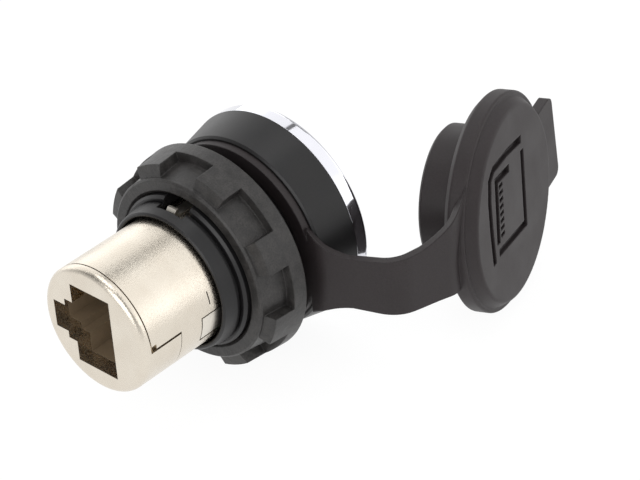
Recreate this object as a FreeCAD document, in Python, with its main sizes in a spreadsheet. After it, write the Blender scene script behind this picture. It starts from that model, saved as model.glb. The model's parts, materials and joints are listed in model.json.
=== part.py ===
import FreeCAD, Part
import math
import os
import Sketcher

# Panel mount ethernet jack, millimetres.
# The origin is on the jack's axis in the panel seat plane, where the rubber ring meets the panel.
# +Y runs to the rear, through the panel. +Z is up, through the key slot. +X is the plug latch side.

Vector = FreeCAD.Vector
NEAR_ZERO = 1e-9
doc = FreeCAD.newDocument("PanelJack")

# Driving sizes: name, value and what it measures
SIZES = (
    ("insert_wall", 0.832, "plastic inserts outside the furthest corner of the socket"),
    ("stem_wall", 1.6, "wall of the threaded stem"),
    ("stem_thread_end", 10.3, "panel seat to the end of the threaded stretch"),
    ("stem_edge", 0.35, "chamfer at the end of the threaded stretch"),
    ("pilot_wall", 0.95, "wall of the plain pilot behind the threaded stretch"),
    ("pilot_len", 0.8, "straight part of the pilot, with its groove"),
    ("pilot_groove", 0.45, "groove between the threaded stretch and the pilot's bead"),
    ("cone_len", 2.1, "pilot's cone down to the mouth"),
    ("mouth_land", 0.4, "flat rim around the mouth"),
    ("mouth_edge", 0.2, "chamfer at the mouth, inside and outside"),
    ("key_width", 4.6, "key slot across the top of the stem"),
    ("key_start", 1.2, "panel seat to the front end of the key slot"),
    ("key_past", 1.4, "key slot beyond the threaded stretch"),
    ("ring_width", 2.4, "rubber ring, from the stem outward"),
    ("ring_thick", 1.15, "rubber ring along the axis"),
    ("ring_gap", 0.05, "rubber ring to stem"),
    ("collar_rise", 0.55, "collar's rear edge outside the rubber ring"),
    ("collar_taper", 1.15, "widening of the collar towards the trim ring"),
    ("collar_len", 5.6, "collar along the axis"),
    ("collar_edge", 0.3, "chamfer on the collar's rear edge"),
    ("trim_len", 2.4, "trim ring along the axis"),
    ("trim_wall", 3.1, "trim ring, from its bore to its outside"),
    ("trim_round", 0.8, "rounding of the trim ring's front edge"),
    ("trim_depth", 0.25, "face of the housing behind the front of the trim ring"),
    ("recess_wall", 1.85, "housing between the trim ring and the front recess"),
    ("recess_depth", 6.1, "front recess along the axis"),
    ("lip_width", 0.7, "lip that the coupler rests on, from the coupler's outside inward"),
    ("lip_thick", 1.0, "lip along the axis"),
    ("panel_gap", 3.0, "panel seat to the nut, the thickest panel"),
    ("nut_len", 6.7, "nut along the axis"),
    ("nut_over", 0.05, "nut's front edge outside the collar"),
    ("nut_taper", 0.45, "narrowing of the nut to the rear end of its ribs"),
    ("nut_wall", 2.1, "nut's wall at its rear face"),
    ("rib_back", 0.65, "nut's rear face to the foot of the ribs' rear ends"),
    ("rib_end_len", 0.45, "sloped rear ends of the ribs, along the axis"),
    ("nut_gap", 0.04, "nut bore to stem"),
    ("nut_lead", 0.45, "chamfer of the nut bore"),
    ("nut_edge", 0.3, "chamfer of the nut's outer edges"),
    ("nut_flange_len", 2.4, "solid band in front of the nut's pockets"),
    ("pocket_count", 8, "pockets around the nut"),
    ("pocket_angle", 26.0, "width of a pocket, degrees"),
    ("pocket_rise", 0.5, "rise of a pocket's floor from the rear face's edge to its front"),
    ("pocket_turn", 4.0, "turn of the pocket pattern from the top, degrees"),
    ("coupler_gap", 0.4, "metal coupler to the stem's bore"),
    ("coupler_wall", 0.8, "wall of the coupler's shells"),
    ("coupler_out", 13.4, "coupler beyond the mouth"),
    ("end_wall", 2.2, "end walls of the shells"),
    ("end_chamfer", 0.65, "bevel of the front end face"),
    ("end_round", 0.95, "rounding of the rear end face"),
    ("cap_rim", 1.3, "rear shell's band above the seam"),
    ("skirt_len", 6.6, "rear shell's lower skirt, from the rear face"),
    ("seam", 0.17, "open seam between the shells"),
    ("skirt_gap", 0.08, "seam at the skirt's front edge, nearly closed"),
    ("notch_len", 0.8, "small notch at the corner of the seam"),
    ("window_past", 3.1, "rear edge of the latch window beyond the mouth"),
    ("window_len", 4.8, "latch window along the axis"),
    ("window_height", 3.9, "latch window across, from the axis down"),
    ("window_top", 0.05, "upper edge of the latch window above the axis"),
    ("window_gap", 0.2, "latch to the window's edges"),
    ("latch_thick", 0.75, "side latch"),
    ("slit_len", 1.8, "slit above the latch window, across"),
    ("slit_width", 0.16, "slit above the latch window, along the axis"),
    ("slit_rise", 1.2, "slit's lower end above the axis"),
    ("slit_set", 1.7, "slit ahead of the window's rear edge"),
    ("port_width", 11.9, "socket, across the contacts"),
    ("port_height", 6.95, "socket, from contacts to latch side"),
    ("port_depth", 12.0, "socket, from the face inward"),
    ("step_width", 6.1, "socket's latch shoulder, width"),
    ("step_height", 1.45, "socket's latch shoulder, height"),
    ("slot_width", 4.1, "socket's latch slot, width"),
    ("slot_height", 2.1, "socket's latch slot, height"),
    ("board_thick", 1.2, "circuit board"),
    ("board_gap", 0.05, "circuit board to the shell's wall"),
    ("fit_gap", 0.05, "plastic inserts to the shells"),
    ("contact_pitch", 1.016, "contact to contact"),
    ("contact_width", 0.45, "contact across"),
    ("contact_thick", 0.3, "contact strip"),
    ("contact_fold", 0.6, "start of the contact's slope above its straight run"),
    ("contact_short", 1.0, "contact's free end short of the socket's inner end"),
    ("contact_turn", 3.0, "face to the contact's bend"),
    ("contact_reach", 2.4, "free end of the contact above the socket's floor"),
    ("channel_depth", 1.6, "contact channel below the socket's floor"),
    ("lug_width", 1.5, "locking lug across"),
    ("lug_height", 1.15, "locking lug above the coupler"),
    ("lug_len", 1.15, "locking lug along the axis"),
    ("lug_slope_len", 0.75, "slope at the lug's rear end, along the axis"),
    ("lug_slope_height", 0.85, "slope at the lug's rear end, its height"),
    ("lug_set", 0.3, "locking lug's offset to the latch side"),
    ("strip_thick", 0.25, "strip that carries the lug"),
    ("strip_len", 6.0, "strip along the axis"),
    ("strap_thick", 1.15, "strap"),
    ("strap_root", 6.9, "upper half width of the strap at the ring"),
    ("strap_root_low", 6.0, "lower half width of the strap at the ring"),
    ("strap_neck", 3.8, "half width of the strap at its neck"),
    ("strap_far", 4.4, "half width of the strap before the cap"),
    ("strap_end", 9.5, "upper half width of the strap at the cap"),
    ("strap_end_low", 5.0, "lower half width of the strap at the cap"),
    ("strap_low", 0.85, "strap's middle line below the axis"),
    ("strap_out", 10.3, "strap's corner outside the rubber ring, sideways"),
    ("strap_fore", 4.5, "strap's corner in front of the panel seat"),
    ("strap_slack", 0.55, "strap's last bend outside the cap's rim"),
    ("strap_clear", 0.7, "strap's first bend outside the collar"),
    ("strap_bend_root", 3.0, "radius of the strap's bend at the collar"),
    ("strap_bend_out", 4.5, "radius of the strap's middle bend"),
    ("strap_bend_cap", 3.5, "radius of the strap's bend at the cap"),
    ("strap_flare", 3.46, "flared end of the strap at the ring, along it"),
    ("strap_flare_cap", 4.5, "flared end of the strap at the cap, along it"),
    ("strap_hold", 4.3, "strap's end inside the cap's rim"),
    ("strap_set", 0.85, "strap behind the front edge of the cap's rim"),
    ("strap_hollow", 0.22, "how far the flared ends are hollowed, as a share of the flare"),
    ("cap_away", 10.4, "middle of the cap's face outside the rubber ring, sideways"),
    ("cap_ahead", 19.75, "middle of the cap's face in front of the trim ring"),
    ("cap_swing", 72.1, "cap swung open from the closed place, degrees"),
    ("cap_tilt", 5.2, "cap tipped to face up, degrees"),
    ("cap_inset", 0.05, "cap's rim inside the trim ring's edge"),
    ("cap_ledge", 0.7, "ledge between the rim and the bevel"),
    ("cap_bevel_width", 0.95, "bevel between the ledge and the flat face"),
    ("cap_back_inset", 0.9, "back of the cap's disc inside the rim"),
    ("cap_bevel", 1.4, "face to the rim"),
    ("cap_rim_len", 2.2, "rim along the cap's axis"),
    ("cap_thick", 4.4, "cap's disc"),
    ("cap_face_round", 0.6, "rounding between face and bevel"),
    ("cap_rim_round", 0.35, "rounding of the rim's edges"),
    ("plug_gap", 0.2, "cap's plug to the front recess"),
    ("plug_len", 5.6, "plug beyond the disc"),
    ("plug_edge", 0.4, "chamfer of the plug"),
    ("plug_wall", 1.8, "plug's wall"),
    ("plug_hollow", 3.4, "hollow of the plug"),
    ("tab_width", 12.4, "pull tab across"),
    ("tab_reach", 3.05, "pull tab's end beyond the cap's rim"),
    ("tab_thick", 1.5, "pull tab"),
    ("tab_set", 0.7, "pull tab behind the cap's face"),
    ("tab_round", 1.2, "corners of the pull tab"),
    ("mark_depth", 0.75, "sunken port symbol"),
    ("mark_pitch", 1.0, "grid that the port symbol's strokes are drawn on"),
    ("mark_line", 1.15, "line width of the port symbol"),
    ("tick_line", 0.6, "line width of the symbol's contact ticks"),
    ("tick_pitch", 0.99, "tick to tick"),
    ("tick_shift", 0.15, "sideways step from tick to tick"),
)

# Furthest corner of the socket from the axis, which the inserts and all that surrounds them are built around
SOCKET_REACH = (
    "=max(hypot(port_width / 2; port_height / 2); "
    "hypot(slot_width / 2; port_height / 2 + step_height + slot_height))"
)

# Strokes of the port symbol on its own grid, from the middle of the cap's face:
# the open frame, the jack's outline and the step inside it, then the first contact tick
MARK_FRAME = ((-4.3, -7.5), (0.5, -8.4), (5.8, -8.8), (7.4, -7.9), (8.2, -5.0), (8.6, -1.0), (8.8, 4.2))
MARK_JACK = ((-4.2, -5.9), (-2.8, 4.9), (7.0, 3.5))
MARK_STEP = ((0.7, -6.0), (5.3, -6.7), (6.8, 2.2))
MARK_TICK = ((3.4, -5.3), (4.7, -5.3))


class Size:
    """A length or angle that carries its value and the expression that gives it in the sheet."""

    def __init__(self, value, text):
        self.value = float(value)
        self.text = text

    def joined(self, other, sign, value):
        other_text = other.text if isinstance(other, Size) else "%g" % other
        return Size(value, "(%s %s %s)" % (self.text, sign, other_text))

    def __add__(self, other):
        return self.joined(other, "+", self.value + plain(other))

    def __sub__(self, other):
        return self.joined(other, "-", self.value - plain(other))

    def __mul__(self, other):
        return self.joined(other, "*", self.value * plain(other))

    def __truediv__(self, other):
        return self.joined(other, "/", self.value / plain(other))

    def __neg__(self):
        return Size(-self.value, "(0 - %s)" % self.text)


ZERO = Size(0, "0")


def plain(number):
    return number.value if isinstance(number, Size) else float(number)


def make_sheet():
    sheet = doc.addObject("Spreadsheet::Sheet", "Sizes")
    for row, (name, value, note) in enumerate(SIZES, start=1):
        sheet.set("A%d" % row, note)
        sheet.set("B%d" % row, "%g" % value)
        sheet.setAlias("B%d" % row, name)
    row = len(SIZES) + 1
    sheet.set("A%d" % row, "furthest corner of the socket from the axis")
    sheet.set("B%d" % row, SOCKET_REACH)
    sheet.setAlias("B%d" % row, "socket_reach")
    doc.recompute()
    return sheet


sheet = make_sheet()


def size(name):
    return Size(getattr(sheet, name), "Sizes." + name)


# Sizes that several pieces share
INSERT_R = size("socket_reach") + size("insert_wall")
SHELL_BORE_R = INSERT_R + size("fit_gap")
COUPLER_R = SHELL_BORE_R + size("coupler_wall")
BORE_R = COUPLER_R + size("coupler_gap")
STEM_R = BORE_R + size("stem_wall")
RING_R = STEM_R + size("ring_width")
COLLAR_REAR_R = RING_R + size("collar_rise")
COLLAR_R = COLLAR_REAR_R + size("collar_taper")
TRIM_BORE_R = COLLAR_R - size("trim_wall")
RECESS_R = TRIM_BORE_R - size("recess_wall")
COLLAR_REAR = -size("ring_thick")
COLLAR_FRONT = COLLAR_REAR - size("collar_len")
TRIM_FRONT = COLLAR_FRONT - size("trim_len")
HOUSING_FRONT = TRIM_FRONT + size("trim_depth")
LIP_FRONT = TRIM_FRONT + size("recess_depth")
PILOT_START = size("stem_thread_end")
CONE_START = PILOT_START + size("pilot_len")
MOUTH = CONE_START + size("cone_len")
KEY_END = PILOT_START + size("key_past")
COUPLER_FRONT = LIP_FRONT + size("lip_thick")
COUPLER_REAR = MOUTH + size("coupler_out")
REAR_WALL = COUPLER_REAR - size("end_wall")
FRONT_WALL = COUPLER_FRONT + size("end_wall")
SEAM_Y = COUPLER_REAR - size("cap_rim")
SKIRT_Y = COUPLER_REAR - size("skirt_len")
BOARD_MID = (REAR_WALL + FRONT_WALL) / 2
BOARD_REAR = BOARD_MID + size("board_thick") / 2
BOARD_FRONT = BOARD_MID - size("board_thick") / 2
FLOOR_X = -size("port_height") / 2
WINDOW_REAR = MOUTH + size("window_past")
WINDOW_FRONT = WINDOW_REAR - size("window_len")
NUT_FRONT = size("panel_gap")
NUT_REAR = NUT_FRONT + size("nut_len")
CAP_R = COLLAR_R - size("cap_inset")
TAB_END = CAP_R + size("tab_reach")
CONTACTS = 8
FULL_TURN = 360.0
HALF_TURN = FULL_TURN / 2
QUARTER_TURN = FULL_TURN / 4
# Lengths closer than this count as the same when an edge is picked
SAME = 0.01


def bind(thing, prop, number):
    """Ties a property to the sheet, or sets it where it is a bare number."""
    if isinstance(number, Size):
        thing.setExpression(prop, number.text)
    else:
        setattr(thing, prop, number)


def new_body(label):
    body = doc.addObject("PartDesign::Body", label)
    body.Label = label
    return body


def new_sketch(body, name, plane, offset=None):
    """A sketch on one of the body's own origin planes, moved along the plane's normal if asked."""
    support = [f for f in body.Origin.OriginFeatures if f.Role == plane][0]
    sketch = body.newObject("Sketcher::SketchObject", name)
    sketch.AttachmentSupport = [(support, "")]
    sketch.MapMode = "FlatFace"
    if offset is not None:
        bind(sketch, "AttachmentOffset.Base.z", offset)
    return sketch


def pin_point(sketch, geometry, corner, along, number):
    """Holds one coordinate of a point at its distance from the origin."""
    value = plain(number)
    if abs(value) < NEAR_ZERO:
        axis = -2 if along == "DistanceX" else -1
        sketch.addConstraint(Sketcher.Constraint("PointOnObject", geometry, corner, axis))
        return
    if value > 0:
        ends = (-1, 1, geometry, corner)
    else:
        ends = (geometry, corner, -1, 1)
        number = -number if isinstance(number, Size) else -value
    index = sketch.addConstraint(Sketcher.Constraint(along, *ends, abs(value)))
    if isinstance(number, Size):
        sketch.setExpression("Constraints[%d]" % index, number.text)


def add_outline(sketch, corners):
    """Adds a closed outline of straight lines; each corner is a pair of sizes."""
    first = sketch.GeometryCount
    points = [Vector(plain(across), plain(up), 0) for across, up in corners]
    count = len(points)
    for index in range(count):
        sketch.addGeometry(Part.LineSegment(points[index], points[(index + 1) % count]), False)
    for index in range(count):
        after = first + (index + 1) % count
        sketch.addConstraint(Sketcher.Constraint("Coincident", first + index, 2, after, 1))
    for index, (across, up) in enumerate(corners):
        pin_point(sketch, first + index, 1, "DistanceX", across)
        pin_point(sketch, first + index, 1, "DistanceY", up)


def box_corners(low_across, low_up, high_across, high_up):
    return [(low_across, low_up), (high_across, low_up), (high_across, high_up), (low_across, high_up)]


def turned(body, name, corners, angle=FULL_TURN, plane="XY_Plane", axis="V_Axis", kind="Revolution"):
    """Turns an outline about an axis of its sketch; a part turn is centred on the sketch's plane."""
    sketch = new_sketch(body, name + "_outline", plane)
    add_outline(sketch, corners)
    feature = body.newObject("PartDesign::" + kind, name)
    feature.Profile = sketch
    feature.ReferenceAxis = (sketch, [axis])
    if plain(angle) < FULL_TURN:
        feature.Midplane = True
        bind(feature, "Angle", angle)
    else:
        feature.Angle = FULL_TURN
    return feature


def cut_through(body, name, plane, outlines):
    """Cuts outlines right through the body, to both sides of the sketch's plane."""
    sketch = new_sketch(body, name + "_outline", plane)
    for corners in outlines:
        add_outline(sketch, corners)
    feature = body.newObject("PartDesign::Pocket", name)
    feature.Profile = sketch
    feature.Type = "ThroughAll"
    feature.Midplane = True
    return feature


def port_corners():
    """Section of the socket: the wide cavity, the latch shoulder and the latch slot."""
    wide = size("port_width") / 2
    middle = size("step_width") / 2
    narrow = size("slot_width") / 2
    wall = size("port_height") / 2
    shoulder = wall + size("step_height")
    slot = shoulder + size("slot_height")
    return [(-wall, -wide), (wall, -wide), (wall, -middle), (shoulder, -middle), (shoulder, -narrow),
            (slot, -narrow), (slot, narrow), (shoulder, narrow), (shoulder, middle), (wall, middle),
            (wall, wide), (-wall, wide)]


def sunk(body, name, corners, place, depth, rearward):
    """Sinks an outline, drawn across the axis at the given place, into the body along the axis."""
    sketch = new_sketch(body, name + "_outline", "XZ_Plane", -place)
    add_outline(sketch, corners)
    feature = body.newObject("PartDesign::Pocket", name)
    feature.Profile = sketch
    bind(feature, "Length", depth)
    feature.Reversed = not rearward
    return feature


def round_edges(body, name, base, radius, wanted):
    """Rounds the edges of a feature that the test picks."""
    doc.recompute()
    names = ["Edge%d" % number for number, edge in enumerate(base.Shape.Edges, start=1) if wanted(edge)]
    feature = body.newObject("PartDesign::Fillet", name)
    feature.Base = (base, names)
    bind(feature, "Radius", radius)
    return feature


def same(found, number):
    return abs(found - plain(number)) < SAME


def is_ring(edge, radius, place):
    """True for a circle about the jack's axis with this radius at this place along the axis."""
    curve = edge.Curve
    if not isinstance(curve, Part.Circle):
        return False
    on_axis = math.hypot(curve.Center.x, curve.Center.z) < SAME
    return on_axis and same(curve.Radius, radius) and same(curve.Center.y, place)


# Bright trim ring on the front of the collar
def make_trim_ring():
    body = new_body("front_trim_ring")
    corners = box_corners(TRIM_BORE_R, TRIM_FRONT, COLLAR_R, COLLAR_FRONT)
    ring = turned(body, "trim_body", corners)
    round_edges(body, "trim_front_round", ring, size("trim_round"),
                lambda edge: is_ring(edge, COLLAR_R, TRIM_FRONT))
    return body


# Collar, stem and pilot moulded as one, with the front recess and the lip inside
def make_housing():
    body = new_body("bezel_housing")
    edge = size("stem_edge")
    groove = size("pilot_groove")
    pilot_r = BORE_R + size("pilot_wall")
    mouth_edge = size("mouth_edge")
    land = BORE_R + size("mouth_land")
    lip_r = COUPLER_R - size("lip_width")
    collar_edge = size("collar_edge")
    corners = [
        (RECESS_R, HOUSING_FRONT), (TRIM_BORE_R, HOUSING_FRONT), (TRIM_BORE_R, COLLAR_FRONT),
        (COLLAR_R, COLLAR_FRONT), (COLLAR_REAR_R, COLLAR_REAR - collar_edge),
        (COLLAR_REAR_R - collar_edge, COLLAR_REAR), (STEM_R, COLLAR_REAR), (STEM_R, PILOT_START - edge),
        (STEM_R - edge, PILOT_START), (pilot_r - groove, PILOT_START),
        (pilot_r - groove, PILOT_START + groove), (pilot_r, PILOT_START + groove), (pilot_r, CONE_START),
        (land + mouth_edge, MOUTH - mouth_edge), (land, MOUTH), (BORE_R + mouth_edge, MOUTH),
        (BORE_R, MOUTH - mouth_edge), (BORE_R, COUPLER_FRONT), (lip_r, COUPLER_FRONT),
        (lip_r, LIP_FRONT), (RECESS_R, LIP_FRONT),
    ]
    turned(body, "housing_body", corners)
    half = size("key_width") / 2
    sketch = new_sketch(body, "key_outline", "XY_Plane")
    add_outline(sketch, box_corners(-half, size("key_start"), half, KEY_END))
    slot = body.newObject("PartDesign::Pocket", "key_slot")
    slot.Profile = sketch
    slot.Type = "ThroughAll"
    slot.Reversed = True
    return body


# Slotted ring nut behind the panel
def make_nut():
    body = new_body("panel_nut")
    bore = STEM_R + size("nut_gap")
    lead = size("nut_lead")
    edge = size("nut_edge")
    front = COLLAR_R + size("nut_over")
    rear = front - size("nut_taper")
    neck = STEM_R + size("nut_wall")
    rib_foot = NUT_REAR - size("rib_back")
    rib_end = rib_foot - size("rib_end_len")
    corners = [
        (bore + lead, NUT_FRONT), (front - edge, NUT_FRONT), (front, NUT_FRONT + edge),
        (rear, rib_end), (neck, rib_foot), (neck, NUT_REAR - edge), (neck - edge, NUT_REAR),
        (bore + lead, NUT_REAR), (bore, NUT_REAR - lead), (bore, NUT_FRONT + lead),
    ]
    turned(body, "nut_body", corners)
    start = NUT_FRONT + size("nut_flange_len")
    floor = neck + size("pocket_rise")
    outside = front + size("nut_edge")
    corners = [(start, floor), (rib_foot, neck), (rib_foot, outside), (start, outside)]
    pocket = turned(body, "nut_pocket", corners, size("pocket_angle"), "YZ_Plane", "H_Axis", "Groove")
    pattern = body.newObject("PartDesign::PolarPattern", "nut_pockets")
    pattern.Originals = [pocket]
    pattern.Axis = (pocket.Profile[0], ["H_Axis"])
    pattern.Angle = FULL_TURN
    bind(pattern, "Occurrences", size("pocket_count"))
    body.Tip = pattern
    turn = FreeCAD.Rotation(Vector(0, 1, 0), size("pocket_turn").value)
    body.Placement = FreeCAD.Placement(Vector(0, 0, 0), turn)
    return body


# Long front shell of the coupler: a cup whose upper half reaches to the seam near the rear face
def make_front_shell():
    body = new_body("front_shell")
    gap = size("seam")
    bevel = size("end_chamfer")
    lower_end = SKIRT_Y - size("skirt_gap")
    corners = [
        (ZERO, COUPLER_FRONT), (COUPLER_R - bevel, COUPLER_FRONT), (COUPLER_R, COUPLER_FRONT + bevel),
        (COUPLER_R, lower_end), (SHELL_BORE_R, lower_end), (SHELL_BORE_R, FRONT_WALL), (ZERO, FRONT_WALL),
    ]
    turned(body, "shell_cup", corners)
    half_turn = HALF_TURN - 2 * math.degrees(plain(gap) / plain(COUPLER_R))
    turned(body, "shell_upper", box_corners(lower_end, SHELL_BORE_R, SEAM_Y - gap, COUPLER_R),
           half_turn, "YZ_Plane", "H_Axis")
    sunk(body, "front_port", port_corners(), COUPLER_FRONT, size("end_wall"), True)
    window_low = -size("window_height")
    slit_rear = WINDOW_REAR - size("slit_set")
    slit_low = size("slit_rise")
    outlines = [
        box_corners(WINDOW_FRONT, window_low, WINDOW_REAR, size("window_top")),
        box_corners(slit_rear - size("slit_width"), slit_low, slit_rear, slit_low + size("slit_len")),
        box_corners(SEAM_Y - gap - size("notch_len"), ZERO, SEAM_Y, size("notch_len")),
    ]
    cut_through(body, "side_cuts", "YZ_Plane", outlines)
    return body


# Rear shell of the coupler: end face with the socket, and a skirt around the lower half
def make_rear_shell():
    body = new_body("rear_shell")
    corners = [
        (ZERO, REAR_WALL), (SHELL_BORE_R, REAR_WALL), (SHELL_BORE_R, SEAM_Y), (COUPLER_R, SEAM_Y),
        (COUPLER_R, COUPLER_REAR), (ZERO, COUPLER_REAR),
    ]
    end = turned(body, "shell_end", corners)
    round_edges(body, "end_round", end, size("end_round"),
                lambda edge: is_ring(edge, COUPLER_R, COUPLER_REAR))
    half_turn = HALF_TURN - 2 * math.degrees(plain(size("seam")) / plain(COUPLER_R))
    turned(body, "shell_skirt", box_corners(SKIRT_Y, -COUPLER_R, SEAM_Y, -SHELL_BORE_R),
           half_turn, "YZ_Plane", "H_Axis")
    sunk(body, "rear_port", port_corners(), COUPLER_REAR, size("end_wall"), False)
    return body


# Latch that shows in the window on each side of the front shell
def make_side_latch(label, side):
    body = new_body(label)
    gap = size("window_gap")
    outer = SHELL_BORE_R + size("latch_thick")
    corners = box_corners(SHELL_BORE_R, WINDOW_FRONT + gap, outer, WINDOW_REAR - gap)
    turned(body, label + "_strip", corners, latch_angle(), "XY_Plane", "V_Axis")
    middle = latch_angle() / 2 + math.degrees(plain(gap) / plain(COUPLER_R))
    turn = middle if side > 0 else HALF_TURN - middle
    body.Placement = FreeCAD.Placement(Vector(0, 0, 0), FreeCAD.Rotation(Vector(0, 1, 0), turn))
    return body


def latch_angle():
    """Angle that the latch covers, so that it stays inside the window."""
    height = plain(size("window_height")) - 2 * plain(size("window_gap"))
    return math.degrees(math.asin(height / plain(COUPLER_R)))


# Locking lug on a flat strip along the top of the coupler, in the key slot
def make_lug():
    end = KEY_END - size("mouth_edge") / 2
    base = COUPLER_R / 2
    top = COUPLER_R + size("lug_height")
    strip = COUPLER_R + size("strip_thick")
    corners = [
        (end - size("strip_len"), base), (end, base), (end, top - size("lug_slope_height")),
        (end - size("lug_slope_len"), top), (end - size("lug_len"), top), (end - size("lug_len"), strip),
        (end - size("strip_len"), strip),
    ]
    whole = new_body("lug_block")
    sketch = new_sketch(whole, "lug_outline", "YZ_Plane")
    add_outline(sketch, corners)
    pad = whole.newObject("PartDesign::Pad", "lug_pad")
    pad.Profile = sketch
    bind(pad, "Length", size("lug_width"))
    pad.Midplane = True
    bind(whole, "Placement.Base.x", size("lug_set"))
    core = round_bar("lug_core", COUPLER_R, COUPLER_FRONT, COUPLER_REAR)
    return part_cut("locking_lug", whole, core)


def round_bar(name, radius, start, end):
    """A cylinder about the jack's axis, from one place to another."""
    bar = doc.addObject("Part::Cylinder", name)
    bind(bar, "Radius", radius)
    bind(bar, "Height", end - start)
    bar.Placement = FreeCAD.Placement(Vector(0, 0, 0), FreeCAD.Rotation(Vector(1, 0, 0), -QUARTER_TURN))
    bind(bar, "Placement.Base.y", start)
    return bar


def part_cut(name, base, tool):
    cut = doc.addObject("Part::Cut", name)
    cut.Label = name
    cut.Base = base
    cut.Tool = tool
    return cut


# Moulded insert of one socket, with the channel that the contacts lie in
def make_insert(label, face, inner, board, rearward):
    body = new_body(label)
    turned(body, label + "_block", [(ZERO, board), (INSERT_R, board), (INSERT_R, inner), (ZERO, inner)])
    sunk(body, label + "_port", port_corners(), face, size("port_depth"), rearward)
    half = size("contact_pitch") * (CONTACTS / 2)
    floor = FLOOR_X + size("fit_gap")
    channel = box_corners(FLOOR_X - size("channel_depth"), -half, floor, half)
    length = board - face if rearward else face - board
    sunk(body, label + "_channel", channel, face, length, rearward)
    return body


# Circuit board that joins the two rows of contacts
def make_board():
    board = round_bar("circuit_board", SHELL_BORE_R - size("board_gap"), BOARD_FRONT, BOARD_REAR)
    board.Label = "circuit_board"
    return board


# One bent contact: along the channel from the board, round the bend, and back up into the socket
def make_contact(label, number, board, face, inward):
    body = new_body(label)
    thick = size("contact_thick")
    low = FLOOR_X - size("channel_depth") + thick
    fold = low + size("contact_fold")
    bend = face + size("contact_turn") * inward
    tip = face + (size("port_depth") - size("contact_short")) * inward
    top = FLOOR_X + size("contact_reach")
    inside = bend + thick * inward
    corners = [
        (low - thick, board), (low - thick, bend), (fold + thick, bend), (top + thick, tip),
        (top, tip), (fold, inside), (low, inside), (low, board),
    ]
    sketch = new_sketch(body, label + "_outline", "XY_Plane")
    add_outline(sketch, corners)
    pad = body.newObject("PartDesign::Pad", label + "_strip")
    pad.Profile = sketch
    bind(pad, "Length", size("contact_width"))
    pad.Midplane = True
    bind(body, "Placement.Base.z", size("contact_pitch") * (number - (CONTACTS + 1) / 2))
    return body


def cap_axes():
    """The cap's own directions: towards the strap, sideways, and out of its face."""
    swing = math.radians(size("cap_swing").value)
    tilt = math.radians(size("cap_tilt").value)
    to_strap = Vector(-math.cos(swing), math.sin(swing), 0)
    level = Vector(-math.sin(swing), -math.cos(swing), 0)
    outward = level * math.cos(tilt) + Vector(0, 0, 1) * math.sin(tilt)
    return to_strap, outward.cross(to_strap), outward


def cap_middle():
    away = RING_R + size("cap_away")
    ahead = TRIM_FRONT - size("cap_ahead")
    return Vector(-away.value, ahead.value, -size("strap_low").value)


# Rubber cap: bevelled disc with a hollow plug, a pull tab and a sunken port symbol on its face
def make_cap_disc():
    body = new_body("cap_disc")
    ledge_r = CAP_R - size("cap_ledge")
    face_r = ledge_r - size("cap_bevel_width")
    plug_r = RECESS_R - size("plug_gap")
    plug_end = -(size("cap_thick") + size("plug_len"))
    edge = size("plug_edge")
    hollow_r = plug_r - size("plug_wall")
    hollow = plug_end + size("plug_hollow")
    rim_front = -size("cap_bevel")
    rim_back = rim_front - size("cap_rim_len")
    back = -size("cap_thick")
    corners = [
        (ZERO, ZERO), (face_r, ZERO), (ledge_r, rim_front), (CAP_R, rim_front),
        (CAP_R, rim_back), (CAP_R - size("cap_back_inset"), back), (plug_r, back), (plug_r, plug_end + edge),
        (plug_r - edge, plug_end), (hollow_r, plug_end), (hollow_r, hollow), (ZERO, hollow),
    ]
    disc = turned(body, "cap_turned", corners, FULL_TURN, "XZ_Plane", "V_Axis")
    disc = round_edges(body, "cap_face_round", disc, size("cap_face_round"),
                       lambda edge: is_cap_ring(edge, face_r, ZERO))
    round_edges(body, "cap_rim_round", disc, size("cap_rim_round"),
                lambda edge: is_cap_ring(edge, CAP_R, rim_front) or is_cap_ring(edge, CAP_R, rim_back))
    sketch = new_sketch(body, "tab_outline", "XY_Plane", -(size("tab_set") + size("tab_thick")))
    half = size("tab_width") / 2
    add_outline(sketch, box_corners(-TAB_END, -half, ZERO, half))
    tab = body.newObject("PartDesign::Pad", "pull_tab")
    tab.Profile = sketch
    bind(tab, "Length", size("tab_thick"))
    round_edges(body, "tab_corners", tab, size("tab_round"), is_tab_corner)
    sketch = new_sketch(body, "mark_outline", "XY_Plane")
    for corners in mark_outlines():
        add_outline(sketch, corners)
    mark = body.newObject("PartDesign::Pocket", "port_symbol")
    mark.Profile = sketch
    bind(mark, "Length", size("mark_depth"))
    to_strap, sideways, outward = cap_axes()
    body.Placement = FreeCAD.Placement(cap_middle(), FreeCAD.Rotation(to_strap, sideways, outward, "ZXY"))
    return body


def is_cap_ring(edge, radius, height):
    """True for a circle about the cap's own axis with this radius at this height."""
    curve = edge.Curve
    if not isinstance(curve, Part.Circle):
        return False
    on_axis = math.hypot(curve.Center.x, curve.Center.y) < SAME
    return on_axis and same(curve.Radius, radius) and same(curve.Center.z, height)


def is_tab_corner(edge):
    """True for the two upright edges at the free end of the pull tab."""
    if not isinstance(edge.Curve, Part.Line):
        return False
    middle = edge.CenterOfMass
    return same(-middle.x, TAB_END) and same(abs(middle.y), size("tab_width") / 2)


def mark_outlines():
    """The port symbol: an open frame, a jack outline with its step, and the contact ticks."""
    line = size("mark_line") / 2
    outlines = [stroke_corners(points, line) for points in (MARK_FRAME, MARK_JACK, MARK_STEP)]
    for number in range(CONTACTS):
        right = size("tick_shift") * number
        down = size("tick_pitch") * number
        tick = stroke_corners(MARK_TICK, size("tick_line") / 2)
        outlines.append([(across + right, up + down) for across, up in tick])
    return outlines


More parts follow.
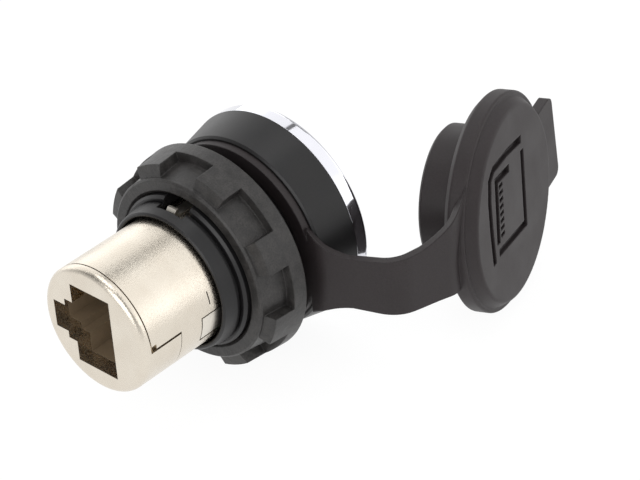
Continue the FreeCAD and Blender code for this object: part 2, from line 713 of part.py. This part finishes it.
def stroke_corners(points, half):
    """Outline of a bent stroke: its middle line moved to both sides by half its width."""
    unit = size("mark_pitch")
    runs = []
    for start, end in zip(points, points[1:]):
        runs.append(Vector(end[0] - start[0], end[1] - start[1], 0).normalize())
    near = []
    far = []
    for number, (across, up) in enumerate(points):
        before = runs[max(number - 1, 0)]
        after = runs[min(number, len(runs) - 1)]
        reach = 1 + before.dot(after)
        side_x = -(before.y + after.y) / reach
        side_y = (before.x + after.x) / reach
        near.append((unit * across + half * side_x, unit * up + half * side_y))
        far.append((unit * across - half * side_x, unit * up - half * side_y))
    return near + far[::-1]


def rounded_path(points, radii):
    """Straight runs joined by tangent arcs."""
    edges = []
    start = points[0]
    for before, corner, after, radius in zip(points, points[1:], points[2:], radii):
        into = (corner - before).normalize()
        out = (after - corner).normalize()
        turn = math.acos(max(-1.0, min(1.0, into.dot(out))))
        setback = radius * math.tan(turn / 2)
        begin = corner - into * setback
        finish = corner + out * setback
        bisector = (out - into).normalize()
        centre = corner + bisector * (radius / math.cos(turn / 2))
        middle = centre - bisector * radius
        edges.append(Part.LineSegment(start, begin).toShape())
        edges.append(Part.Arc(begin, middle, finish).toShape())
        start = finish
    edges.append(Part.LineSegment(start, points[-1]).toShape())
    return Part.Wire(edges)


def strap_points():
    """Corners of the strap's middle line, seen from above."""
    to_strap, _, outward = cap_axes()
    level = Vector(outward.x, outward.y, 0).normalize()
    layer = (size("cap_bevel") + size("strap_set") + size("strap_thick") / 2).value
    middle = cap_middle()
    cap_point = Vector(middle.x, middle.y, 0) - level * layer
    rim = CAP_R.value
    seat = -size("ring_thick").value / 2
    ring_edge = RING_R.value
    return [
        Vector(-(ring_edge + STEM_R.value) / 2, seat, 0),
        Vector(-(COLLAR_REAR_R + size("strap_clear")).value, seat, 0),
        Vector(-(ring_edge + size("strap_out").value), -size("strap_fore").value, 0),
        cap_point + to_strap * (rim + size("strap_slack").value),
        cap_point + to_strap * (rim - size("strap_hold").value),
    ]


# Flat strap, bent into a curve between the ring and the cap, with flared ends
def make_strap():
    points = strap_points()
    thick = size("strap_thick").value
    bends = [size(name).value for name in ("strap_bend_root", "strap_bend_out", "strap_bend_cap")]
    path = rounded_path(points, bends)
    inner = path.makeOffset2D(thick / 2, 0, False, True)
    outer = path.makeOffset2D(-thick / 2, 0, False, True)
    ends = [Part.LineSegment(inner.OrderedVertexes[k].Point, outer.OrderedVertexes[k].Point).toShape()
            for k in (0, -1)]
    band = Part.Wire(Part.__sortEdges__(inner.Edges + outer.Edges + ends))
    tall = 2 * size("strap_end").value
    low = -size("strap_low").value - tall / 2
    face = Part.Face(band)
    face.translate(Vector(0, 0, low))
    sheet_solid = face.extrude(Vector(0, 0, tall))
    strap = doc.addObject("Part::Feature", "strap")
    strap.Shape = sheet_solid.common(strap_outline_solid(points))
    return strap


def strap_outline_solid(points):
    """A block with the strap's outline, seen across the bend, that trims the strap to its width."""
    along = Vector(-1, -1, 0).normalize()
    across = Vector(-1, 1, 0).normalize()
    start, first, _, last, end = [point.dot(along) for point in points]
    mid = -size("strap_low").value
    neck = first + size("strap_flare").value
    far = last - size("strap_flare_cap").value
    bulge = size("strap_hollow").value
    beyond = 2 * CAP_R.value
    roots = {1: size("strap_root").value, -1: size("strap_root_low").value}
    narrow = (neck, size("strap_neck").value)
    wide = (far, size("strap_far").value)

    def at(place, height):
        return along * place + Vector(0, 0, mid + height) - across * beyond

    def side(sign):
        """One edge of the outline: flare, straight taper, flare."""
        root = (start, roots[sign])
        tip = (end, size("strap_end" if sign > 0 else "strap_end_low").value)
        first_mid = ((root[0] + narrow[0]) / 2, (root[1] + narrow[1]) / 2 - bulge * (root[1] - narrow[1]))
        last_mid = ((wide[0] + tip[0]) / 2, (wide[1] + tip[1]) / 2 - bulge * (tip[1] - wide[1]))
        at_side = [at(place, sign * half) for place, half in (root, first_mid, narrow, wide, last_mid, tip)]
        return [Part.Arc(*at_side[0:3]).toShape(), Part.LineSegment(at_side[2], at_side[3]).toShape(),
                Part.Arc(*at_side[3:6]).toShape()]

    low_end = -size("strap_end_low").value
    closing = [Part.LineSegment(at(start, -roots[-1]), at(start, roots[1])).toShape(),
               Part.LineSegment(at(end, low_end), at(end, size("strap_end").value)).toShape()]
    wire = Part.Wire(Part.__sortEdges__(side(1) + side(-1) + closing))
    return Part.Face(wire).extrude(across * (2 * beyond))


# Ring, strap and cap, moulded as one piece of rubber
def make_tethered_cap():
    outer = round_bar("ring_outer", RING_R, -size("ring_thick"), ZERO)
    inner = round_bar("ring_inner", STEM_R + size("ring_gap"), -size("ring_thick"), ZERO)
    ring = part_cut("ring", outer, inner)
    whole = doc.addObject("Part::MultiFuse", "tethered_cap")
    whole.Label = "tethered_cap"
    whole.Shapes = [ring, make_strap(), make_cap_disc()]
    whole.Refine = False
    return whole


def make_parts():
    parts = [
        make_trim_ring(),
        make_housing(),
        make_tethered_cap(),
        make_nut(),
        make_front_shell(),
        make_rear_shell(),
        make_side_latch("side_latch_left", 1),
        make_side_latch("side_latch_right", -1),
        make_lug(),
        make_insert("rear_insert", COUPLER_REAR, REAR_WALL - size("fit_gap"), BOARD_REAR, False),
        make_insert("front_insert", COUPLER_FRONT, FRONT_WALL + size("fit_gap"), BOARD_FRONT, True),
        make_board(),
    ]
    for number in range(1, CONTACTS + 1):
        parts.append(make_contact("rear_contact_%d" % number, number, BOARD_REAR, COUPLER_REAR, -1))
        parts.append(make_contact("front_contact_%d" % number, number, BOARD_FRONT, COUPLER_FRONT, 1))
    return parts


def check_all(parts):
    for thing in doc.Objects:
        if "Invalid" in thing.State or "Error" in thing.State:
            raise RuntimeError("failed: %s %s" % (thing.Label, thing.State))
    for part in parts:
        shape = part.Shape
        if shape.isNull() or not shape.isValid() or len(shape.Solids) != 1:
            raise RuntimeError("bad shape: %s, %d solids" % (part.Label, len(shape.Solids)))


parts = make_parts()
doc.recompute()
check_all(parts)
os.makedirs("parts", exist_ok=True)
for part in parts:
    part.Shape.exportStep("parts/%s.step" % part.Label)
    print("%s %.2f" % (part.Label, part.Shape.Volume))
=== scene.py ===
import json
import math

import bmesh
import bpy
from mathutils import Matrix, Vector

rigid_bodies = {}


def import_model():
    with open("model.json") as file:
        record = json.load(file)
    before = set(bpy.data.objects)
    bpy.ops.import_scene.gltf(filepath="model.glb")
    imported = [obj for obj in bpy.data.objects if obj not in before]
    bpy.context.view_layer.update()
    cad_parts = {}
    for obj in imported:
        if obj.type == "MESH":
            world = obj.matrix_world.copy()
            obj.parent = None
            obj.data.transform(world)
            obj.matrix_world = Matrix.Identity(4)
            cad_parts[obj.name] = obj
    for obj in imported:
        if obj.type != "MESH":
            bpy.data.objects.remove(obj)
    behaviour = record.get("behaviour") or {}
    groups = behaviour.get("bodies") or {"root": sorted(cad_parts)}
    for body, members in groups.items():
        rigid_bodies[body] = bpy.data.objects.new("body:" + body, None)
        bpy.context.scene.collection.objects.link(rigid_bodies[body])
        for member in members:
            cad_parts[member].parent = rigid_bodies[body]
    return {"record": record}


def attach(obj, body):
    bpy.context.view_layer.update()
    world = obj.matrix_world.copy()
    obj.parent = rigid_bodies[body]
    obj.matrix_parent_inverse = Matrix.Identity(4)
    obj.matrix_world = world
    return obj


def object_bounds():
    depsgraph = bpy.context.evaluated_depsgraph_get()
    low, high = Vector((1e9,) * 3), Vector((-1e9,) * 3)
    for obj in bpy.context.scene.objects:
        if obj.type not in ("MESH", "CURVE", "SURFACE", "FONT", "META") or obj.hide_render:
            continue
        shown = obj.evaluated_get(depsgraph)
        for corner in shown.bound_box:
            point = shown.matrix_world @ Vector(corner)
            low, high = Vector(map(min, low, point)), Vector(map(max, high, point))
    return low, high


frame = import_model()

CAD_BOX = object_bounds()
MM = 0.001

# Camera at the photograph's place: its directions in the object's frame, and its place in millimetres
CAMERA_RIGHT = Vector((-0.7469, -0.6625, -0.0572))
CAMERA_UP = Vector((0.3422, -0.4568, 0.8211))
CAMERA_BACK = Vector((-0.5701, 0.5937, 0.5679))
CAMERA_PLACE = Vector((-196.68, 189.24, 186.56))
CAMERA_LENS = 140.625
CAMERA_SENSOR = 36.0

# Stem's radius and the places that its thread runs between, millimetres
STEM_R = 11.0
SEAT_Y = 0.0
NUT_FRONT_Y = 3.0

# Screw thread on the stem, millimetres
THREAD_PITCH = 1.0
THREAD_ROOT = STEM_R - 0.15
THREAD_CREST = STEM_R + 0.32
THREAD_RUNOUT = STEM_R + 0.02
THREAD_FOOT = 0.42
THREAD_TOP = 0.1
THREAD_MARGIN = 0.5
THREAD_STEPS = 96
THREAD_FADE = 12

# Floor: how much of it glows for the camera and in reflections, and how bright its two sides are
FLOOR_GLOW_SHARE = 0.9
FLOOR_GLOW = 1.04
FLOOR_GREY = 0.86
FLOOR_HALF = 3.0
FLOOR_GAP = 0.0001

# Sky: brightness against height, from the horizon up, and its strength
SKY_ENDS = (0.92, 0.92, 0.93)
SKY_LEVELS = ((0.34, 0.84), (0.52, 0.34), (0.80, 0.24), (0.90, 0.5))
SKY_STRENGTH = 0.75

# Area lights: name, place, width and height in metres, and power in watts
LIGHTS = (
    ("key", (-0.30, -0.33, 0.31), (0.88, 0.75), 2.1),
    ("over", (0.06, 0.02, 0.50), (0.34, 0.30), 0.6),
    ("rear", (-0.16, 0.42, 0.26), (0.46, 0.36), 1.2),
    ("side", (0.40, -0.16, 0.24), (0.68, 0.54), 1.1),
)
LIGHT_TARGET = Vector((-0.005, -0.005, 0.0))

# Noise sizes that the materials share, waves a metre
CLOUD = 180.0
METAL_CLOUD = 260.0
LUMP_SCALE = 1100.0
BEVEL_SAMPLES = 6


def add_camera():
    data = bpy.data.cameras.new("camera")
    data.sensor_width = CAMERA_SENSOR
    data.lens = CAMERA_LENS
    data.clip_start = 0.01
    data.clip_end = 20.0
    camera = bpy.data.objects.new("camera", data)
    turn = Matrix((CAMERA_RIGHT, CAMERA_UP, CAMERA_BACK)).transposed().to_4x4()
    camera.matrix_world = Matrix.Translation(CAMERA_PLACE * MM) @ turn
    bpy.context.scene.collection.objects.link(camera)
    bpy.context.scene.camera = camera


class Nodes:
    """Small helper that builds one material's node tree."""

    def __init__(self, tree):
        self.tree = tree
        tree.nodes.clear()

    def add(self, kind, inputs=(), **settings):
        node = self.tree.nodes.new("ShaderNode" + kind)
        for name, value in settings.items():
            setattr(node, name, value)
        for key, value in dict(inputs).items():
            if isinstance(value, bpy.types.NodeSocket):
                self.tree.links.new(value, node.inputs[key])
            else:
                node.inputs[key].default_value = value
        return node

    def noise(self, coords, scale, detail=3.0, rough=0.5):
        inputs = {"Vector": coords, "Scale": scale, "Detail": detail, "Roughness": rough}
        return self.add("TexNoise", inputs).outputs["Fac"]

    def spread(self, fac, low, high, start=0.3, end=0.7):
        """Maps a 0 to 1 pattern to a range of numbers."""
        inputs = {"Value": fac, "From Min": start, "From Max": end, "To Min": low, "To Max": high}
        return self.add("MapRange", inputs).outputs["Result"]

    def blend(self, fac, first, second):
        node = self.add("Mix", {"Factor": fac}, data_type="RGBA")
        node.inputs[6].default_value = (*first, 1.0)
        node.inputs[7].default_value = (*second, 1.0)
        return node.outputs[2]


def new_material(name):
    material = bpy.data.materials.new(name)
    material.use_nodes = True
    nodes = Nodes(material.node_tree)
    coords = nodes.add("TexCoord").outputs["Object"]
    return material, nodes, coords


def finish_surface(nodes, coords, color, rough, grain, height, edge, fixed):
    """Ends a material: soft edges, fine grain and the shader. Height and edge are in millimetres."""
    soft = nodes.add("Bevel", {"Radius": edge * MM}, samples=BEVEL_SAMPLES)
    bump = nodes.add("Bump", {"Strength": 1.0, "Distance": height * MM, "Height": grain,
                              "Normal": soft.outputs["Normal"]})
    inputs = {"Base Color": color, "Roughness": rough, "Normal": bump.outputs["Normal"]}
    shader = nodes.add("BsdfPrincipled", inputs)
    for key, value in fixed.items():
        shader.inputs[key].default_value = value
    out = nodes.add("OutputMaterial")
    nodes.tree.links.new(shader.outputs["BSDF"], out.inputs["Surface"])


def moulded(name, dark, light, rough, scale, height, edge, specular=0.5, lumps=0.0, patch=CLOUD):
    """Moulded plastic or rubber: slightly cloudy colour, fine tooth, shallow lumps and soft edges."""
    material, nodes, coords = new_material(name)
    cloud = nodes.noise(coords, patch, 4.0)
    tooth = nodes.noise(coords, scale, 5.0, 0.6)
    mixed = nodes.add("Math", {0: cloud, 1: tooth}, operation="MULTIPLY").outputs[0]
    color = nodes.blend(nodes.spread(mixed, 0.0, 1.0, 0.1, 0.4), dark, light)
    shine = nodes.spread(cloud, rough - 0.05, rough + 0.06)
    relief = tooth
    if lumps:
        wide = nodes.noise(coords, LUMP_SCALE, 3.0)
        inputs = {0: wide, 1: lumps, 2: tooth}
        relief = nodes.add("Math", inputs, operation="MULTIPLY_ADD").outputs[0]
    finish_surface(nodes, coords, color, shine, relief, height, edge, {"Specular IOR Level": specular})
    return material


def metal(name, dark, light, rough, scale, height, edge, uneven=0.03):
    """Plated metal: even colour with a faint mottle and a satin grain."""
    material, nodes, coords = new_material(name)
    cloud = nodes.noise(coords, METAL_CLOUD, 3.0)
    grain = nodes.noise(coords, scale, 3.0, 0.6)
    color = nodes.blend(nodes.spread(cloud, 0.0, 1.0), dark, light)
    shine = nodes.spread(grain, rough - uneven, rough + uneven)
    finish_surface(nodes, coords, color, shine, grain, height, edge, {"Metallic": 1.0})
    return material


def make_materials():
    """One material for each slot of the record."""
    return {
        "trim": metal("bright_chrome", dark=(0.74, 0.745, 0.79), light=(0.78, 0.78, 0.83), rough=0.07,
                      scale=900.0, height=0.0, edge=0.08, uneven=0.01),
        "housing": moulded("black_moulding", dark=(0.006, 0.006, 0.007), light=(0.011, 0.010, 0.010),
                           rough=0.38, scale=5200.0, height=0.004, edge=0.12, specular=0.40),
        "rubber": moulded("grey_black_rubber", dark=(0.0155, 0.0110, 0.0116), light=(0.0252, 0.0197, 0.0206),
                          rough=0.52, scale=4200.0, height=0.006, edge=0.30, specular=0.36),
        "nut": moulded("black_nut", dark=(0.006, 0.0055, 0.0053), light=(0.038, 0.035, 0.0335), rough=0.44,
                       scale=4600.0, height=0.018, edge=0.22, specular=0.46, lumps=4.0, patch=650.0),
        "shell": metal("satin_nickel", dark=(0.70, 0.635, 0.54), light=(0.76, 0.70, 0.605), rough=0.28,
                       scale=4200.0, height=0.027, edge=0.05, uneven=0.09),
        "latch": metal("nickel_strip", dark=(0.78, 0.73, 0.65), light=(0.84, 0.80, 0.72), rough=0.36,
                       scale=7000.0, height=0.0020, edge=0.05),
        "insert": moulded("brown_insert", dark=(0.185, 0.138, 0.088), light=(0.27, 0.20, 0.13), rough=0.36,
                          scale=5000.0, height=0.006, edge=0.06),
        "board": moulded("green_board", dark=(0.012, 0.10, 0.035), light=(0.02, 0.15, 0.06), rough=0.38,
                         scale=3000.0, height=0.004, edge=0.05),
        "contact": metal("gold_contact", dark=(0.80, 0.60, 0.28), light=(0.88, 0.68, 0.35), rough=0.24,
                         scale=6000.0, height=0.001, edge=0.04),
    }


def dress_nodes(materials):
    for part in frame["record"]["subparts"]:
        thing = bpy.data.objects[part["node"]]
        material = materials[part["material_slot"]]
        if not thing.material_slots:
            thing.data.materials.append(material)
        for slot in thing.material_slots:
            slot.material = material


def new_object(name, mesh, material):
    """Turns a mesh under construction into an object of the scene."""
    data = bpy.data.meshes.new(name)
    mesh.to_mesh(data)
    mesh.free()
    data.materials.append(material)
    thing = bpy.data.objects.new(name, data)
    bpy.context.scene.collection.objects.link(thing)
    return thing


# Screw thread that shows between the rubber ring and the nut
def add_thread(material):
    start = SEAT_Y + THREAD_MARGIN
    turns = (NUT_FRONT_Y - SEAT_Y - 2 * THREAD_MARGIN) / THREAD_PITCH
    mesh = bmesh.new()
    rows = []
    count = int(THREAD_STEPS * turns)
    for step in range(count + 1):
        share = step / count
        fade = min(1.0, min(share, 1 - share) * THREAD_FADE)
        angle = 2 * math.pi * turns * share
        along = start + THREAD_PITCH * turns * share
        tall = THREAD_RUNOUT + (THREAD_CREST - THREAD_RUNOUT) * fade
        profile = ((THREAD_ROOT, -THREAD_FOOT), (tall, -THREAD_TOP),
                   (tall, THREAD_TOP), (THREAD_ROOT, THREAD_FOOT))
        row = []
        for radius, offset in profile:
            point = Vector((radius * math.sin(angle), along + offset, radius * math.cos(angle)))
            row.append(mesh.verts.new(point * MM))
        rows.append(row)
    for first, second in zip(rows, rows[1:]):
        for index in range(4):
            after = (index + 1) % 4
            mesh.faces.new((first[index], first[after], second[after], second[index]))
    mesh.faces.new(rows[0])
    mesh.faces.new(rows[-1][::-1])
    bmesh.ops.recalc_face_normals(mesh, faces=mesh.faces)
    piece = new_object("stem_thread", mesh, material)
    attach(piece, "root")


def make_floor_material():
    """White to the camera and in reflections, pale grey to other light, so that a faint shadow stays."""
    material = bpy.data.materials.new("pale_floor")
    material.use_nodes = True
    nodes = Nodes(material.node_tree)
    path = nodes.add("LightPath").outputs
    seen = nodes.add("Math", {0: path["Is Camera Ray"], 1: path["Is Glossy Ray"]}, operation="MAXIMUM")
    seen = nodes.add("Math", {0: seen.outputs[0], 1: path["Is Transmission Ray"]}, operation="MAXIMUM")
    share = nodes.add("Math", {0: seen.outputs[0], 1: FLOOR_GLOW_SHARE}, operation="MULTIPLY")
    matte = nodes.add("BsdfDiffuse", {"Color": (FLOOR_GREY, FLOOR_GREY, FLOOR_GREY, 1.0)})
    glow = nodes.add("Emission", {"Color": (1.0, 1.0, 1.0, 1.0), "Strength": FLOOR_GLOW})
    mix = nodes.add("MixShader", {0: share.outputs[0], 1: matte.outputs[0], 2: glow.outputs[0]})
    out = nodes.add("OutputMaterial")
    nodes.tree.links.new(mix.outputs[0], out.inputs["Surface"])
    return material


def add_floor():
    mesh = bmesh.new()
    bmesh.ops.create_grid(mesh, x_segments=2, y_segments=2, size=FLOOR_HALF)
    floor = new_object("floor", mesh, make_floor_material())
    floor.location = (0, 0, CAD_BOX[0][2] - FLOOR_GAP)


# Even sky, brightest at the horizon and overhead, with a darker belt between
def add_world():
    world = bpy.data.worlds.new("studio")
    world.use_nodes = True
    bpy.context.scene.world = world
    nodes = Nodes(world.node_tree)
    coords = nodes.add("TexCoord").outputs["Generated"]
    height = nodes.add("SeparateXYZ", {0: coords}).outputs["Z"]
    ramp = nodes.add("ValToRGB", {0: height})
    stops = ramp.color_ramp.elements
    stops[0].position = 0.0
    stops[1].position = 1.0
    stops[0].color = stops[1].color = (*SKY_ENDS, 1.0)
    for place, level in SKY_LEVELS:
        stops.new(place).color = (level, level, level, 1.0)
    back = nodes.add("Background", {"Color": ramp.outputs["Color"], "Strength": SKY_STRENGTH})
    out = nodes.add("OutputWorld")
    nodes.tree.links.new(back.outputs[0], out.inputs["Surface"])


def add_lights():
    for name, place, across, power in LIGHTS:
        data = bpy.data.lights.new(name, "AREA")
        data.shape = "RECTANGLE"
        data.size, data.size_y = across
        data.energy = power
        light = bpy.data.objects.new(name, data)
        light.location = place
        light.rotation_euler = (LIGHT_TARGET - Vector(place)).to_track_quat("-Z", "Y").to_euler()
        bpy.context.scene.collection.objects.link(light)


add_camera()
materials = make_materials()
dress_nodes(materials)
add_thread(materials["housing"])
add_floor()
add_world()
add_lights()
bpy.context.scene.view_settings.view_transform = "Standard"
